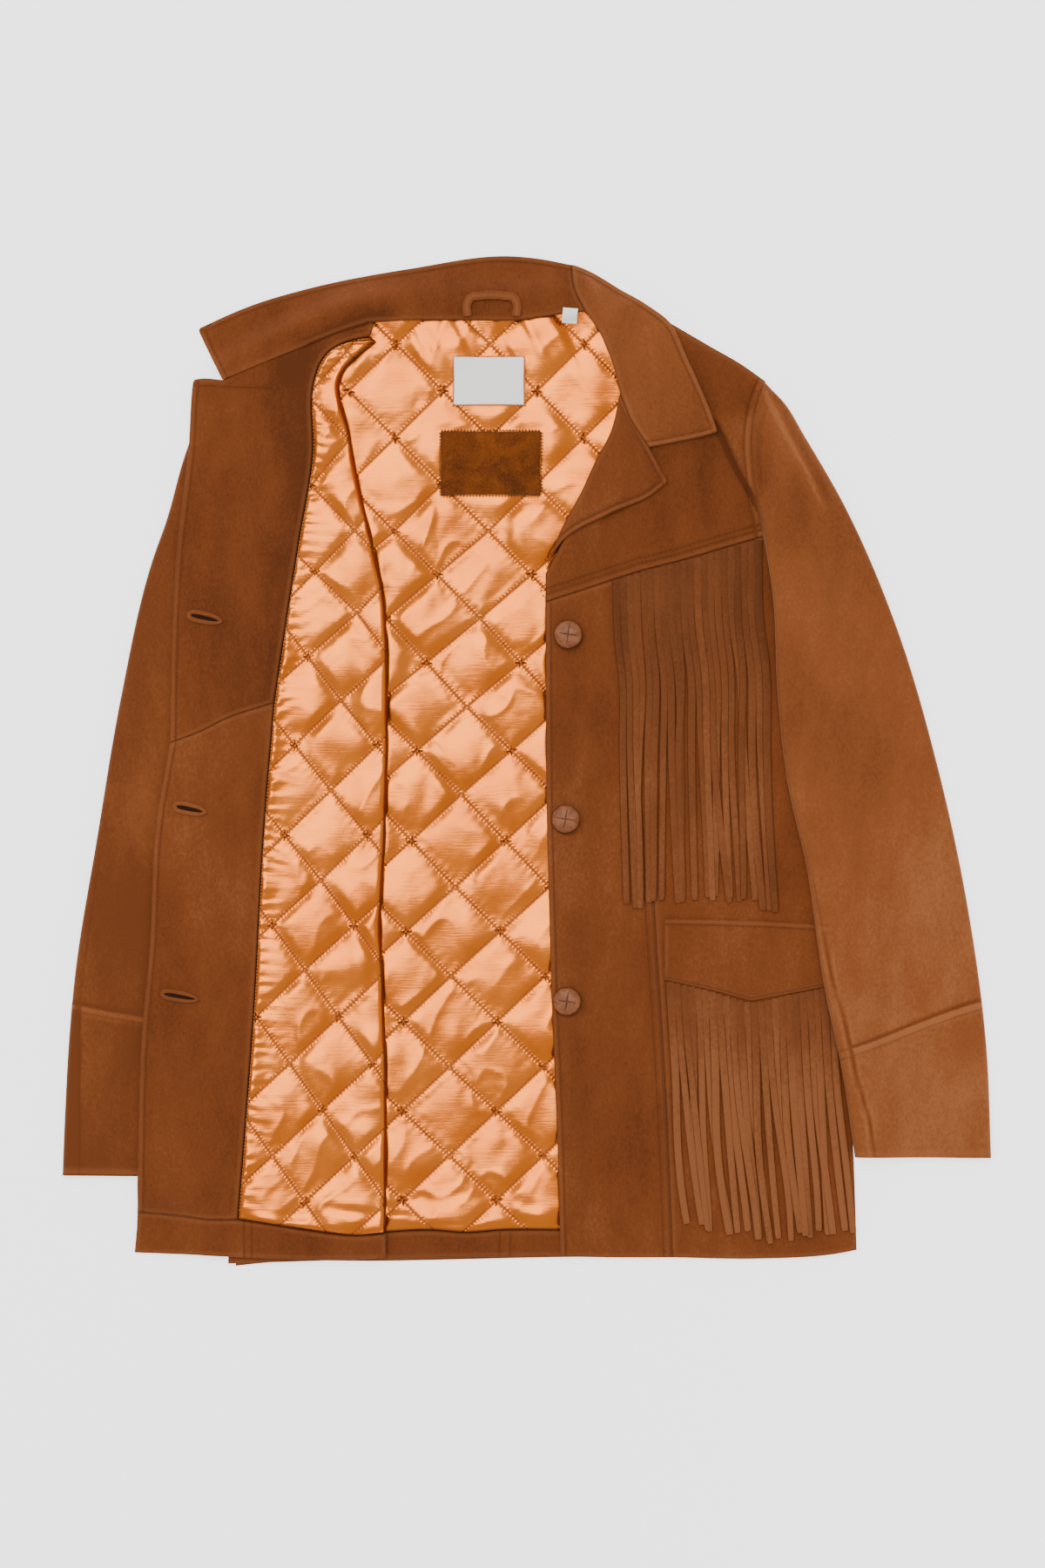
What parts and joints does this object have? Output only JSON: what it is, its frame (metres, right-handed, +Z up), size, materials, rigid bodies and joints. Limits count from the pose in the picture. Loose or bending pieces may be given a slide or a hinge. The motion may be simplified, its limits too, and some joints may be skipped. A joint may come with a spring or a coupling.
{
  "type": "fringed suede coat laid flat with one front opened",
  "caption": "Suede coat with fringed yoke and pocket, laid flat face up, right front folded back to show facing and quilted satin lining.",
  "frame": {"origin": "centre of the coat's outline on the surface that it lies on", "axes": "+Y from the hem to the collar, +X towards the wearer's left, +Z up from the surface"},
  "size_m": [0.7458, 0.811, 0.0185],
  "materials": {
    "suede": "brushed nap, matte",
    "suede_light": "brushed nap, matte, nap lying lighter",
    "satin_lining": "satin, quilted in diamonds",
    "suede_patch": "brushed nap, matte",
    "button_leather": "smooth, slightly polished",
    "label": "woven, plain"
  },
  "bodies": {
    "root": {"back_body": "suede", "back_lining": "satin_lining", "back_hem_facing": "suede", "right_side_fold": "suede", "right_front": "suede", "right_facing_upper": "suede", "right_facing_lower": "suede", "right_front_lining": "satin_lining", "right_front_hem": "suede", "buttonhole_welt_1": "suede", "buttonhole_welt_2": "suede", "buttonhole_welt_3": "suede", "left_yoke": "suede", "left_front": "suede", "left_side": "suede", "left_lapel": "suede", "collar_open": "suede", "collar_leaf": "suede_light", "left_yoke_fringe": "suede", "pocket_flap": "suede", "pocket_fringe": "suede", "left_sleeve_top": "suede_light", "left_sleeve_under": "suede_light", "left_cuff_top": "suede_light", "left_cuff_under": "suede_light", "right_sleeve_top": "suede_light", "right_sleeve_under": "suede_light", "right_cuff_top": "suede_light", "right_cuff_under": "suede_light", "button_1": "button_leather", "button_2": "button_leather", "button_3": "button_leather", "hanger_loop": "suede", "neck_label": "label", "neck_patch": "suede_patch", "size_tab": "label"}
  },
  "joints": []
}
